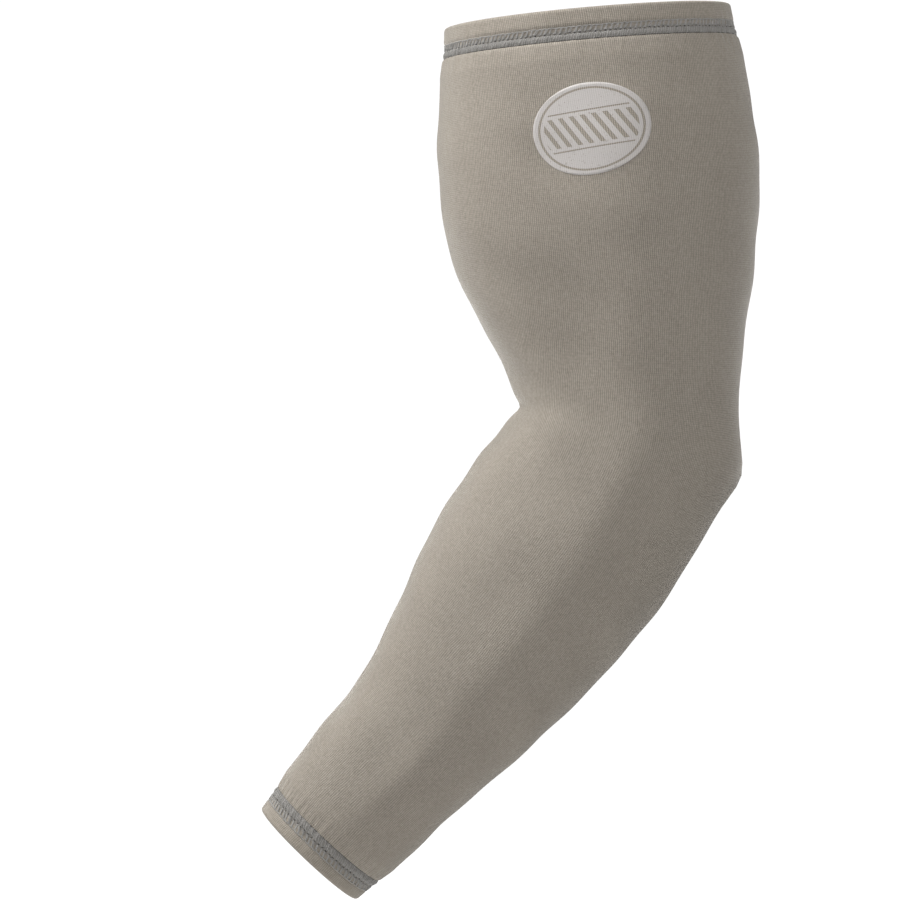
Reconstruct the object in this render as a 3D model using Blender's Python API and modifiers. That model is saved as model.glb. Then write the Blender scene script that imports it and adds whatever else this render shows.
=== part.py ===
"""Arm sleeve for work: a bent knitted tube with a long mesh panel, turned-in hems and sewn seams.

Metres, +Z up. The origin is the middle of the upper opening, where the arm goes in. The sleeve
hangs down from there and bends towards -X at the elbow, as it does on an arm. +X is the elbow
side, -X the biceps side, -Y the smooth outer side and +Y the side with the mesh panel.
"""
import math
from collections import namedtuple

import bmesh
import bpy
from mathutils import Vector

# Sizes of the whole sleeve
SLEEVE_LENGTH = 0.430    # along the middle line, from the rim to the cuff's edge
UPPER_WIDTH = 0.1460     # fullest part of the upper arm
UPPER_DEPTH = 0.1280
ELBOW_WIDTH = 0.1020     # narrowest part, just above the bend
ELBOW_DEPTH = 0.0940
FOREARM_WIDTH = 0.1060   # fullest part of the forearm
FOREARM_DEPTH = 0.0900
CUFF_WIDTH = 0.0610
CUFF_DEPTH = 0.0500

# Cloth
KNIT_WALL = 0.0012
MESH_WALL = 0.0010
FOLD_GAP = 0.0004        # between the two layers of a turned-in hem
SEWN_GAP = 0.0003        # clearance between sewn pieces

# Hems: a plain strip next to the edge, then a band of stitches that holds the turned-in cloth
UPPER_STRIP = 0.0078
UPPER_BAND = 0.0068
CUFF_STRIP = 0.0056
CUFF_BAND = 0.0076
STITCH_THICKNESS = 0.0006
HEM_PULL = 0.0012        # the stitches draw the hem in by this much
HEM_EASE = 0.0090        # the cloth swells back to its full size over this length

# Flatlock seams between the two panels
SEAM_WIDTH = 0.0044
SEAM_ON_MESH = 0.0006    # how much of the seam's width lies on the mesh
SEAM_THICKNESS = 0.0006
STITCH_CREST = 0.0004    # the hem's stitches stay raised this far past a seam that they cross
STITCH_RAMP = 0.0009     # and come down to the cloth over this length

# Elbow: a crease on the inner side and the point of the elbow on the outer side
CREASE_DROP = 0.187      # down the middle line
CREASE_DEPTH = 0.0030
CREASE_REACH = 0.010
POINT_DROP = 0.195
POINT_RISE = 0.0040
POINT_REACH = 0.011
ELBOW_ZONE = 0.045       # the rows of faces are closer this far above and below the crease

# Front of the arm: the muscle's low crest, and a flatter hollow to the biceps side of it.
# Places and reaches are shares of the sleeve's reach from its middle line.
CREST_RISE = 0.0024
CREST_PLACE = 0.24
CREST_REACH = 0.26
HOLLOW_DROP = 0.0012     # on the forearm
UPPER_HOLLOW_DROP = 0.0040
HOLLOW_PLACE = -0.36
HOLLOW_REACH = 0.38
HOLLOW_CHANGE = 0.130    # from here down, the upper arm's hollow turns into the forearm's
HOLLOW_CHANGE_LENGTH = 0.080
FRONT_EASE = 0.080       # the front's form comes up over this length from each end

# Printed patch on the upper arm
PATCH_WIDTH = 0.0550
PATCH_HEIGHT = 0.0410
PATCH_THICKNESS = 0.0004
PATCH_DROP = 0.0545      # from the rim to its middle
PATCH_SHIFT = -0.0045    # from the front line towards the biceps side
PATCH_TILT = 4.5         # degrees, its elbow end up

# Faces
BODY_COLUMNS = 25
MESH_COLUMNS = 8
UPPER_ROWS = 11
ELBOW_ROWS = 12
FOREARM_ROWS = 13
FOLD_STEPS = 4
PATCH_COLUMNS = 10
PATCH_ROWS = 8
CURVE_STEPS = 215

SIZES = {
    "upper": (UPPER_WIDTH, UPPER_DEPTH),
    "elbow": (ELBOW_WIDTH, ELBOW_DEPTH),
    "forearm": (FOREARM_WIDTH, FOREARM_DEPTH),
    "cuff": (CUFF_WIDTH, CUFF_DEPTH),
}

# One row for each section across the sleeve.
# along: share of SLEEVE_LENGTH.
# lean: degrees by which the sleeve runs from straight down towards +X. away: the same towards +Y.
# part: the pair of sizes that the section follows.
# inner, outer: reach from the middle line to the biceps side and to the elbow side, of the width.
# depth: front to back, of the depth.
# inner_line, outer_line: where the two seams run, in degrees round the sleeve. 0 is the elbow
# side, 90 the front, 180 the biceps side and 270 the far side.
Section = namedtuple(
    "Section", "along lean away part inner outer depth inner_line outer_line")
SECTIONS = (
    Section(0.000, 5.0, 0.0, "upper", 0.455, 0.458, 0.92, 204, 319),
    Section(0.070, 4.5, 0.0, "upper", 0.478, 0.482, 0.97, 206, 315),
    Section(0.145, 4.5, 0.0, "upper", 0.500, 0.500, 1.00, 209, 311),
    Section(0.220, 6.0, 0.0, "upper", 0.497, 0.486, 0.98, 211, 308),
    Section(0.294, 6.5, 0.0, "upper", 0.438, 0.445, 0.90, 213, 305),
    Section(0.358, 3.0, 0.0, "elbow", 0.527, 0.564, 1.11, 216, 301),
    Section(0.411, -5.0, 0.0, "elbow", 0.470, 0.542, 1.04, 219, 299),
    Section(0.452, -15.0, 0.0, "elbow", 0.462, 0.568, 1.01, 220, 298),
    Section(0.495, -25.0, 0.0, "forearm", 0.462, 0.530, 1.03, 221, 298),
    Section(0.536, -31.0, 0.0, "forearm", 0.489, 0.520, 1.01, 222, 299),
    Section(0.600, -34.0, 0.5, "forearm", 0.497, 0.508, 0.99, 222, 300),
    Section(0.664, -35.0, 1.0, "forearm", 0.469, 0.480, 0.93, 223, 301),
    Section(0.749, -37.5, 1.5, "forearm", 0.400, 0.422, 0.81, 225, 303),
    Section(0.833, -40.5, 2.0, "cuff", 0.601, 0.624, 1.28, 228, 307),
    Section(0.917, -42.5, 2.5, "cuff", 0.568, 0.567, 1.16, 231, 311),
    Section(1.000, -43.5, 3.0, "cuff", 0.512, 0.516, 1.00, 233, 314),
)

COLOURS = {
    "body_panel": (0.40, 0.36, 0.31),
    "mesh_panel": (0.31, 0.30, 0.29),
    "seam": (0.27, 0.26, 0.25),
    "hem_stitch": (0.24, 0.25, 0.26),
    "patch": (0.66, 0.64, 0.63),
}
CLOTH_ROUGHNESS = 0.9
PRINT_ROUGHNESS = 0.6
SMOOTH_ANGLE = math.radians(40)


def column(name):
    """The values of one column, with shares of a named size turned into metres."""
    values = []
    for row in SECTIONS:
        width, depth = SIZES[row.part]
        scale = {"inner": width, "outer": width, "depth": depth / 2}.get(name, 1.0)
        values.append(getattr(row, name) * scale)
    return values


def slopes(places, values):
    """The slope of a smooth curve at each place, from the values beside it."""
    steps = [(values[i + 1] - values[i]) / (places[i + 1] - places[i])
             for i in range(len(places) - 1)]
    inside = []
    for i in range(1, len(steps)):
        before, after = places[i] - places[i - 1], places[i + 1] - places[i]
        inside.append((steps[i - 1] * after + steps[i] * before) / (before + after))
    return [steps[0]] + inside + [steps[-1]]


PLACES = [row.along * SLEEVE_LENGTH for row in SECTIONS]
COLUMNS = {}
for column_name in ("lean", "away", "inner", "outer", "depth", "inner_line", "outer_line"):
    column_values = column(column_name)
    COLUMNS[column_name] = (column_values, slopes(PLACES, column_values))


def read(name, down):
    """One column of the table at a distance down the sleeve, on a smooth curve."""
    values, rates = COLUMNS[name]
    down = min(max(down, PLACES[0]), PLACES[-1])
    i = max(k for k in range(len(PLACES) - 1) if PLACES[k] <= down)
    step = PLACES[i + 1] - PLACES[i]
    t = (down - PLACES[i]) / step
    return (values[i] * (1 + 2 * t) * (1 - t) ** 2 + rates[i] * step * t * (1 - t) ** 2
            + values[i + 1] * t * t * (3 - 2 * t) + rates[i + 1] * step * t * t * (t - 1))


def axes(down):
    """Three directions at a distance down the sleeve: along it, to the elbow side, to the front."""
    lean, away = math.radians(read("lean", down)), math.radians(read("away", down))
    along = Vector((math.sin(lean) * math.cos(away), math.sin(away),
                    -math.cos(lean) * math.cos(away)))
    side = Vector((math.cos(lean), 0, math.sin(lean)))
    return along, side, along.cross(side)


def middle_points():
    """Points down the middle line, evenly spaced, added up from its direction at each step."""
    step = SLEEVE_LENGTH / CURVE_STEPS
    points = [Vector((0, 0, 0))]
    for i in range(CURVE_STEPS):
        points.append(points[-1] + axes((i + 0.5) * step)[0] * step)
    return points


MIDDLE = middle_points()


def middle(down):
    """The middle line's point at a distance down the sleeve, straight on past both ends."""
    step = SLEEVE_LENGTH / CURVE_STEPS
    i = min(max(int(down / step), 0), CURVE_STEPS - 1)
    return MIDDLE[i].lerp(MIDDLE[i + 1], down / step - i)


def bump(distance, reach):
    """1 at the middle of a local dent or rise, falling smoothly towards 0 beyond its reach."""
    return 1 / (1 + (distance / reach) ** 2) ** 2


def elbow_form(down, across):
    """How far the cloth stands out at the elbow: in at the crease, out at the elbow's point."""
    if across < 0:
        return -CREASE_DEPTH * bump(down - CREASE_DROP, CREASE_REACH) * across ** 4
    return POINT_RISE * bump(down - POINT_DROP, POINT_REACH) * across ** 4


def ease(share):
    """A smooth step from 0 to 1."""
    share = min(max(share, 0), 1)
    return share * share * (3 - 2 * share)


def front_form(down, across, towards):
    """How far the cloth stands out on the front: out at the crest, in at the hollow."""
    if towards <= 0:
        return 0
    upper_share = 1 - ease((down - HOLLOW_CHANGE) / HOLLOW_CHANGE_LENGTH)
    drop = HOLLOW_DROP + (UPPER_HOLLOW_DROP - HOLLOW_DROP) * upper_share
    crest = CREST_RISE * math.exp(-((across - CREST_PLACE) / CREST_REACH) ** 2)
    hollow = drop * math.exp(-((across - HOLLOW_PLACE) / HOLLOW_REACH) ** 2)
    ends = ease(down / FRONT_EASE) * ease((SLEEVE_LENGTH - down) / FRONT_EASE)
    return (crest - hollow) * ease(2 * towards) * ends


def hem_form(down):
    """How far the hems' stitches draw the cloth in."""
    below_upper = (down - UPPER_STRIP - UPPER_BAND) / HEM_EASE
    above_cuff = (SLEEVE_LENGTH - CUFF_STRIP - CUFF_BAND - down) / HEM_EASE
    return -HEM_PULL * (1 - min(ease(below_upper), ease(above_cuff)))


def surface(down, angle, lift):
    """The point this far down the sleeve, at this angle round it, lifted off its outer face."""
    across, towards = math.cos(math.radians(angle)), math.sin(math.radians(angle))
    reach = read("outer" if across > 0 else "inner", down)
    depth = read("depth", down)
    side, front = axes(down)[1:]
    out = (side * (across / reach) + front * (towards / depth)).normalized()
    lift += elbow_form(down, across) + front_form(down, across, towards) + hem_form(down)
    return middle(down) + side * (reach * across) + front * (depth * towards) + out * lift


def turn_for(distance, down, angle):
    """The degrees that a distance measured round the cloth takes up at an angle."""
    turn = math.radians(angle)
    reach = read("outer" if math.cos(turn) > 0 else "inner", down)
    return math.degrees(distance / math.hypot(
        reach * math.sin(turn), read("depth", down) * math.cos(turn)))


def spread(first, last, count):
    """Evenly spaced values from first to last, in this many steps."""
    return [first + (last - first) * i / count for i in range(count + 1)]


def inner_angle(down, into_body):
    """The angle at a distance from the biceps side's seam line, into the body panel."""
    line = read("inner_line", down)
    return line - turn_for(into_body, down, line)


def outer_angle(down, into_body):
    """The angle at a distance from the elbow side's seam line, into the body panel."""
    line = read("outer_line", down)
    return line + turn_for(into_body, down, line)


# The seam's two borders and the places where a hem's stitches rise over it, measured from the
# seam line into the body panel
SEAM_BODY_BORDER = SEAM_WIDTH - SEAM_ON_MESH
SEAM_MESH_BORDER = -SEAM_ON_MESH
BODY_CREST = SEAM_BODY_BORDER + STITCH_CREST
MESH_CREST = SEAM_MESH_BORDER - STITCH_CREST
BODY_FOOT = BODY_CREST + STITCH_RAMP
MESH_FOOT = MESH_CREST - STITCH_RAMP


def body_angles(down):
    """The body panel's columns, from the elbow side's seam round the front to the other seam."""
    start, end = outer_angle(down, SEWN_GAP / 2) - 360, inner_angle(down, SEWN_GAP / 2)
    first, last = outer_angle(down, BODY_FOOT) - 360, inner_angle(down, BODY_FOOT)
    return [start] + spread(first, last, BODY_COLUMNS) + [end]


def mesh_angles(down):
    """The mesh panel's columns, from the biceps side's seam round the back to the other seam."""
    start, end = inner_angle(down, -SEWN_GAP / 2), outer_angle(down, -SEWN_GAP / 2)
    first, last = inner_angle(down, MESH_FOOT), outer_angle(down, MESH_FOOT)
    return [start] + spread(first, last, MESH_COLUMNS) + [end]


def turned_in(wall, lift, hem):
    """Rows over a hem, from its raw edge inside round the fold: distance from the rim, and lift."""
    centre = wall + FOLD_GAP / 2
    radius = centre + lift
    rows = [(hem, -centre - radius)]
    for turn in spread(0, math.pi, FOLD_STEPS):
        rows.append((centre - radius * math.sin(turn), -centre - radius * math.cos(turn)))
    return rows


def outer_rows():
    """Distances down the outer face for every row of faces between the two folds."""
    upper_end = UPPER_STRIP + UPPER_BAND
    cuff_start = SLEEVE_LENGTH - CUFF_STRIP - CUFF_BAND
    downs = [UPPER_STRIP, UPPER_STRIP + UPPER_BAND / 2, upper_end, upper_end + HEM_EASE / 2]
    downs += spread(upper_end + HEM_EASE, CREASE_DROP - ELBOW_ZONE, UPPER_ROWS)
    downs += spread(CREASE_DROP - ELBOW_ZONE, CREASE_DROP + ELBOW_ZONE, ELBOW_ROWS)[1:]
    downs += spread(CREASE_DROP + ELBOW_ZONE, cuff_start - HEM_EASE, FOREARM_ROWS)[1:]
    return downs + [cuff_start - HEM_EASE / 2, cuff_start,
                    cuff_start + CUFF_BAND / 2, cuff_start + CUFF_BAND]


def cloth_rows(wall, lift):
    """Rows from one raw edge, round the upper fold, down the sleeve and round the cuff's fold."""
    upper = turned_in(wall, lift, UPPER_STRIP + UPPER_BAND)
    cuff = turned_in(wall, lift, CUFF_STRIP + CUFF_BAND)
    return (upper + [(down, lift) for down in outer_rows()]
            + [(SLEEVE_LENGTH - rise, height) for rise, height in reversed(cuff)])


def cloth_material(name, colour, roughness):
    material = bpy.data.materials.new(name)
    material.use_nodes = True
    shader = material.node_tree.nodes["Principled BSDF"]
    shader.inputs["Base Color"].default_value = (*colour, 1)
    shader.inputs["Roughness"].default_value = roughness
    shader.inputs["Metallic"].default_value = 0
    material.diffuse_color = (*colour, 1)
    return material


def finish(name, sheet, wall, material):
    """Turn an open sheet whose faces point outwards into a wall of cloth that grows inwards."""
    mesh = bpy.data.meshes.new(name)
    sheet.to_mesh(mesh)
    sheet.free()
    mesh.shade_smooth()
    mesh.set_sharp_from_angle(angle=SMOOTH_ANGLE)
    mesh.materials.append(material)
    piece = bpy.data.objects.new(name, mesh)
    SLEEVE.objects.link(piece)
    solidify = piece.modifiers.new("wall", "SOLIDIFY")
    solidify.thickness = wall
    solidify.offset = -1
    solidify.use_even_offset = True
    solidify.use_quality_normals = True
    return piece


def loft(rows, closed=False):
    """An open sheet through rows of points. closed joins the last column to the first."""
    sheet = bmesh.new()
    grid = [[sheet.verts.new(point) for point in row] for row in rows]
    count = len(rows[0])
    for upper, lower in zip(grid, grid[1:]):
        for i in range(count if closed else count - 1):
            j = (i + 1) % count
            sheet.faces.new((upper[i], upper[j], lower[j], lower[i]))
    return sheet


def panel(name, angles, wall, material):
    rows = [[surface(down, angle, lift) for angle in angles(down)]
            for down, lift in cloth_rows(wall, 0)]
    return finish(name, loft(rows), wall, material)


def seam(name, angle_at, material):
    """A flat ribbon of stitches over the line where the panels meet, turned in with the hems."""
    borders = sorted((SEAM_MESH_BORDER, 0, SEAM_BODY_BORDER), reverse=angle_at is inner_angle)
    rows = [[surface(down, angle_at(down, border), lift) for border in borders]
            for down, lift in cloth_rows(KNIT_WALL, SEWN_GAP + SEAM_THICKNESS)]
    return finish(name, loft(rows), SEAM_THICKNESS, material)


def hem_stitch(name, downs, material):
    """A band of stitches right round a hem, which rises where it crosses the seams."""
    low = SEWN_GAP + STITCH_THICKNESS
    high = low + SEWN_GAP + SEAM_THICKNESS
    rows = []
    for down in downs:
        ring = [(angle, low) for angle in body_angles(down)[1:-1]]
        ring += [(inner_angle(down, BODY_CREST), high), (inner_angle(down, MESH_CREST), high)]
        ring += [(angle, low) for angle in mesh_angles(down)[1:-1]]
        ring += [(outer_angle(down, MESH_CREST), high), (outer_angle(down, BODY_CREST), high)]
        rows.append([surface(down, angle, lift) for angle, lift in ring])
    return finish(name, loft(rows, closed=True), STITCH_THICKNESS, material)


def patch(name, material):
    """A thin oval laid on the front of the upper arm: a grid rounded off to an ellipse."""
    sheet = bmesh.new()
    bmesh.ops.create_grid(sheet, x_segments=PATCH_COLUMNS, y_segments=PATCH_ROWS, size=1)
    tilt = math.radians(PATCH_TILT)
    for vertex in sheet.verts:
        x, y = vertex.co.x, vertex.co.y
        wide = x * math.sqrt(1 - y * y / 2) * PATCH_WIDTH / 2
        high = y * math.sqrt(1 - x * x / 2) * PATCH_HEIGHT / 2
        across = PATCH_SHIFT + wide * math.cos(tilt) - high * math.sin(tilt)
        down = PATCH_DROP - wide * math.sin(tilt) - high * math.cos(tilt)
        angle = 90 - turn_for(across, down, 90)
        vertex.co = surface(down, angle, SEWN_GAP + PATCH_THICKNESS)
    return finish(name, sheet, PATCH_THICKNESS, material)


for old in list(bpy.data.objects):
    bpy.data.objects.remove(old)
SLEEVE = bpy.data.collections.new("arm_sleeve")
bpy.context.scene.collection.children.link(SLEEVE)

knit = cloth_material("smooth_knit", COLOURS["body_panel"], CLOTH_ROUGHNESS)
pique = cloth_material("mesh_knit", COLOURS["mesh_panel"], CLOTH_ROUGHNESS)
flatlock = cloth_material("seam_thread", COLOURS["seam"], CLOTH_ROUGHNESS)
coverstitch = cloth_material("hem_thread", COLOURS["hem_stitch"], CLOTH_ROUGHNESS)
transfer = cloth_material("transfer_print", COLOURS["patch"], PRINT_ROUGHNESS)

panel("body_panel", body_angles, KNIT_WALL, knit)
panel("mesh_panel", mesh_angles, MESH_WALL, pique)
seam("inner_seam", inner_angle, flatlock)
seam("outer_seam", outer_angle, flatlock)
hem_stitch("upper_hem_stitch",
           spread(UPPER_STRIP, UPPER_STRIP + UPPER_BAND, 2), coverstitch)
hem_stitch("cuff_hem_stitch",
           spread(SLEEVE_LENGTH - CUFF_STRIP - CUFF_BAND, SLEEVE_LENGTH - CUFF_STRIP, 2),
           coverstitch)
patch("transfer_patch", transfer)
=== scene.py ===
# %% [markdown]
# # An arm sleeve, dressed
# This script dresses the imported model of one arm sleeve: a bent tube of smooth knit with a long
# mesh panel down its far side, turned-in hems at both ends and a pale print on the upper arm.
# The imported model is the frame. Its solids say where everything is, and nothing here moves them.

# %% Load the frame
import math
from collections import namedtuple

import bpy
import numpy as np
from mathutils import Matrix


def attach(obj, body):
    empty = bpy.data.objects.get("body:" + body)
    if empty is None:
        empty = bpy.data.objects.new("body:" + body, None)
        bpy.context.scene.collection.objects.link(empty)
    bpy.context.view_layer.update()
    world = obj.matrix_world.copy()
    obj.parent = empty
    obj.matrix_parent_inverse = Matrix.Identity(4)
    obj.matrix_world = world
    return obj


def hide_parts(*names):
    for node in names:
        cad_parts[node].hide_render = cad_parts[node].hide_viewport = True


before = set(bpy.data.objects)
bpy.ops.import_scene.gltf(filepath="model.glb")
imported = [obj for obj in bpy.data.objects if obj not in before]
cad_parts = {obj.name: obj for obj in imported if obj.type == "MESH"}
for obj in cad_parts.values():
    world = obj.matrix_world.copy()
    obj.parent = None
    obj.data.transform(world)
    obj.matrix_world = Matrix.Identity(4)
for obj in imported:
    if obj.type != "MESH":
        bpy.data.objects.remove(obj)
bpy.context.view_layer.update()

print("solids in the frame:", sorted(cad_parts))

# %% [markdown]
# ## The form of the arm
# A sleeve has no form of its own. It takes the form of the arm inside it, so the arm's form comes
# first and every piece of cloth, seam and thread is laid on it. It could be modelled as one lump
# and the pieces shrunk onto it, but then nobody could say where a seam runs. Here it is a short
# table instead, the same one that the solids were built from: sections down a bent middle line,
# each with its reach to the biceps side, to the elbow side and to the front.

# %% Sizes of the sleeve, in metres
SLEEVE_LENGTH = 0.430
SIZES = {  # width and depth
    "upper": (0.1460, 0.1280),
    "elbow": (0.1020, 0.0940),
    "forearm": (0.1060, 0.0900),
    "cuff": (0.0610, 0.0500),
}
KNIT_WALL = 0.0012
MESH_WALL = 0.0010
FOLD_GAP = 0.0004
UPPER_STRIP, UPPER_BAND = 0.0078, 0.0068
CUFF_STRIP, CUFF_BAND = 0.0056, 0.0076
HEM_PULL, HEM_EASE = 0.0012, 0.0090
SEAM_WIDTH, SEAM_ON_MESH = 0.0044, 0.0006
CREASE_DROP, CREASE_DEPTH, CREASE_REACH = 0.187, 0.0030, 0.010
POINT_DROP, POINT_RISE, POINT_REACH = 0.195, 0.0040, 0.011
CREST_RISE, CREST_PLACE, CREST_REACH = 0.0024, 0.24, 0.26
HOLLOW_DROP, HOLLOW_PLACE, HOLLOW_REACH = 0.0012, -0.36, 0.38
UPPER_HOLLOW_DROP = 0.0040
HOLLOW_CHANGE, HOLLOW_CHANGE_LENGTH = 0.130, 0.080
FRONT_EASE = 0.080

Section = namedtuple(
    "Section", "along lean away part inner outer depth inner_line outer_line")
SECTIONS = (
    Section(0.000, 5.0, 0.0, "upper", 0.455, 0.458, 0.92, 204, 319),
    Section(0.070, 4.5, 0.0, "upper", 0.478, 0.482, 0.97, 206, 315),
    Section(0.145, 4.5, 0.0, "upper", 0.500, 0.500, 1.00, 209, 311),
    Section(0.220, 6.0, 0.0, "upper", 0.497, 0.486, 0.98, 211, 308),
    Section(0.294, 6.5, 0.0, "upper", 0.438, 0.445, 0.90, 213, 305),
    Section(0.358, 3.0, 0.0, "elbow", 0.527, 0.564, 1.11, 216, 301),
    Section(0.411, -5.0, 0.0, "elbow", 0.470, 0.542, 1.04, 219, 299),
    Section(0.452, -15.0, 0.0, "elbow", 0.462, 0.568, 1.01, 220, 298),
    Section(0.495, -25.0, 0.0, "forearm", 0.462, 0.530, 1.03, 221, 298),
    Section(0.536, -31.0, 0.0, "forearm", 0.489, 0.520, 1.01, 222, 299),
    Section(0.600, -34.0, 0.5, "forearm", 0.497, 0.508, 0.99, 222, 300),
    Section(0.664, -35.0, 1.0, "forearm", 0.469, 0.480, 0.93, 223, 301),
    Section(0.749, -37.5, 1.5, "forearm", 0.400, 0.422, 0.81, 225, 303),
    Section(0.833, -40.5, 2.0, "cuff", 0.601, 0.624, 1.28, 228, 307),
    Section(0.917, -42.5, 2.5, "cuff", 0.568, 0.567, 1.16, 231, 311),
    Section(1.000, -43.5, 3.0, "cuff", 0.512, 0.516, 1.00, 233, 314),
)
print(len(SECTIONS), "sections down", SLEEVE_LENGTH, "m of sleeve")

# %% [markdown]
# The table is read on a smooth curve through its rows. The slope at a row comes from the rows on
# both sides of it, so the curve has no kinks. All of it works on whole arrays of points at once,
# because a sheet of cloth here has tens of thousands.

# %% Read the table
PLACES = np.array([row.along * SLEEVE_LENGTH for row in SECTIONS])
GAPS = np.diff(PLACES)


def column(name):
    values = []
    for row in SECTIONS:
        width, depth = SIZES[row.part]
        scale = {"inner": width, "outer": width, "depth": depth / 2}.get(name, 1.0)
        values.append(getattr(row, name) * scale)
    values = np.array(values)
    steps = np.diff(values) / GAPS
    inside = (steps[:-1] * GAPS[1:] + steps[1:] * GAPS[:-1]) / (GAPS[:-1] + GAPS[1:])
    return values, np.concatenate([steps[:1], inside, steps[-1:]])


COLUMNS = {name: column(name) for name in
           ("lean", "away", "inner", "outer", "depth", "inner_line", "outer_line")}


def read(name, down):
    values, rates = COLUMNS[name]
    down = np.clip(down, PLACES[0], PLACES[-1])
    i = np.clip(np.searchsorted(PLACES, down, side="right") - 1, 0, len(GAPS) - 1)
    t = (down - PLACES[i]) / GAPS[i]
    return (values[i] * (1 + 2 * t) * (1 - t) ** 2 + rates[i] * GAPS[i] * t * (1 - t) ** 2
            + values[i + 1] * t * t * (3 - 2 * t) + rates[i + 1] * GAPS[i] * t * t * (t - 1))


def axes(down):
    """Along the sleeve, to the elbow side and to the front, at distances down it."""
    lean, away = np.radians(read("lean", down)), np.radians(read("away", down))
    along = np.stack([np.sin(lean) * np.cos(away), np.sin(away),
                      -np.cos(lean) * np.cos(away)], axis=-1)
    side = np.stack([np.cos(lean), np.zeros_like(lean), np.sin(lean)], axis=-1)
    return along, side, np.cross(along, side)


MIDDLE_STEPS = 430
MIDDLE_PAST = 0.02  # the middle line runs straight on past both ends for this long
step_length = SLEEVE_LENGTH / MIDDLE_STEPS
step_middles = (np.arange(MIDDLE_STEPS) + 0.5) * step_length
line = np.vstack([np.zeros(3), np.cumsum(axes(step_middles)[0] * step_length, axis=0)])
before = line[0] - axes(np.array(0.0))[0] * MIDDLE_PAST
after = line[-1] + axes(np.array(SLEEVE_LENGTH))[0] * MIDDLE_PAST
LINE_POINTS = np.vstack([before, line, after])
LINE_PLACES = np.concatenate([[-MIDDLE_PAST], np.arange(MIDDLE_STEPS + 1) * step_length,
                              [SLEEVE_LENGTH + MIDDLE_PAST]])


def middle(down):
    return np.stack([np.interp(down, LINE_PLACES, LINE_POINTS[:, i]) for i in range(3)], axis=-1)


print("the cuff's middle lies at", np.round(middle(np.array(SLEEVE_LENGTH)), 4))

# %% [markdown]
# ## One function for every surface
# `surface` gives the point that lies so far down the sleeve, at such an angle round it, lifted so
# far off the cloth's outer face. An angle of 0 is the elbow side, 90 the front, 180 the biceps side
# and 270 the far side. Cloth, seams, stitches and print all ask this one function for their
# places, so they follow each other exactly. The elbow adds a crease inside the bend and a point
# outside it. The muscle makes a low crest down the front, with a flatter stretch to the biceps
# side of it, and the hems' stitches draw the cloth in.

# %% Lay points on the arm
def ease(share):
    share = np.clip(share, 0, 1)
    return share * share * (3 - 2 * share)


def bump(distance, reach):
    return 1 / (1 + (distance / reach) ** 2) ** 2


def front_form(down, across, towards):
    """The muscle's low crest down the front, and the flatter stretch to the biceps side of it."""
    upper_share = 1 - ease((down - HOLLOW_CHANGE) / HOLLOW_CHANGE_LENGTH)
    drop = HOLLOW_DROP + (UPPER_HOLLOW_DROP - HOLLOW_DROP) * upper_share
    crest = CREST_RISE * np.exp(-((across - CREST_PLACE) / CREST_REACH) ** 2)
    hollow = drop * np.exp(-((across - HOLLOW_PLACE) / HOLLOW_REACH) ** 2)
    ends = ease(down / FRONT_EASE) * ease((SLEEVE_LENGTH - down) / FRONT_EASE)
    return (crest - hollow) * ease(2 * towards) * ends


def form(down, across, towards):
    crease = -CREASE_DEPTH * bump(down - CREASE_DROP, CREASE_REACH) * (across < 0)
    point = POINT_RISE * bump(down - POINT_DROP, POINT_REACH) * (across >= 0)
    below_upper = ease((down - UPPER_STRIP - UPPER_BAND) / HEM_EASE)
    above_cuff = ease((SLEEVE_LENGTH - CUFF_STRIP - CUFF_BAND - down) / HEM_EASE)
    hems = -HEM_PULL * (1 - np.minimum(below_upper, above_cuff))
    return (crease + point) * across ** 4 + hems + front_form(down, across, towards)


def surface(down, angle, lift=0.0):
    down, angle, lift = np.broadcast_arrays(*(np.asarray(v, float) for v in (down, angle, lift)))
    across, towards = np.cos(np.radians(angle)), np.sin(np.radians(angle))
    reach = np.where(across > 0, read("outer", down), read("inner", down))
    depth = read("depth", down)
    side, front = axes(down)[1:]
    out = side * (across / reach)[..., None] + front * (towards / depth)[..., None]
    out /= np.linalg.norm(out, axis=-1, keepdims=True)
    lift = lift + form(down, across, towards)
    return (middle(down) + side * (reach * across)[..., None]
            + front * (depth * towards)[..., None] + out * lift[..., None])


def turn_for(distance, down, angle):
    """Degrees that a distance measured round the cloth takes up at an angle."""
    turn = np.radians(angle)
    reach = np.where(np.cos(turn) > 0, read("outer", down), read("inner", down))
    return np.degrees(distance / np.hypot(reach * np.sin(turn), read("depth", down) * np.cos(turn)))


def inner_angle(down, into_body):
    """The angle at a distance from the biceps side's seam line, into the body panel."""
    line_angle = read("inner_line", down)
    return line_angle - turn_for(into_body, down, line_angle)


def outer_angle(down, into_body):
    """The same from the elbow side's seam line."""
    line_angle = read("outer_line", down)
    return line_angle + turn_for(into_body, down, line_angle)


rim = surface(np.zeros(4), np.array([0, 90, 180, 270]))
print("rim is", round(float(rim[0, 0] - rim[2, 0]), 4), "m wide and",
      round(float(rim[3, 1] - rim[1, 1]), 4), "m deep")

# %% [markdown]
# ## Cloth
# On the cutting table a panel is a flat piece, so each one starts as a flat grid, added with
# Blender's own operator. Its vertices are then laid round the arm in code, row by row. This keeps
# what cloth needs and a sculpted lump would lose: a UV map in metres, measured along and across
# the cloth, in which the knit's rows of loops keep their real size everywhere. The wall comes
# last, from a Solidify modifier that grows inwards.

# %% Helpers for cloth
def select_only(piece):
    bpy.ops.object.select_all(action="DESELECT")
    piece.select_set(True)
    bpy.context.view_layer.objects.active = piece


def flat_piece(name, columns, rows):
    """A grid with this many faces each way, as it lies on the cutting table."""
    bpy.ops.object.select_all(action="DESELECT")
    bpy.ops.mesh.primitive_grid_add(x_subdivisions=columns, y_subdivisions=rows, size=2)
    piece = bpy.context.object
    piece.name = piece.data.name = name
    return piece


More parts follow.
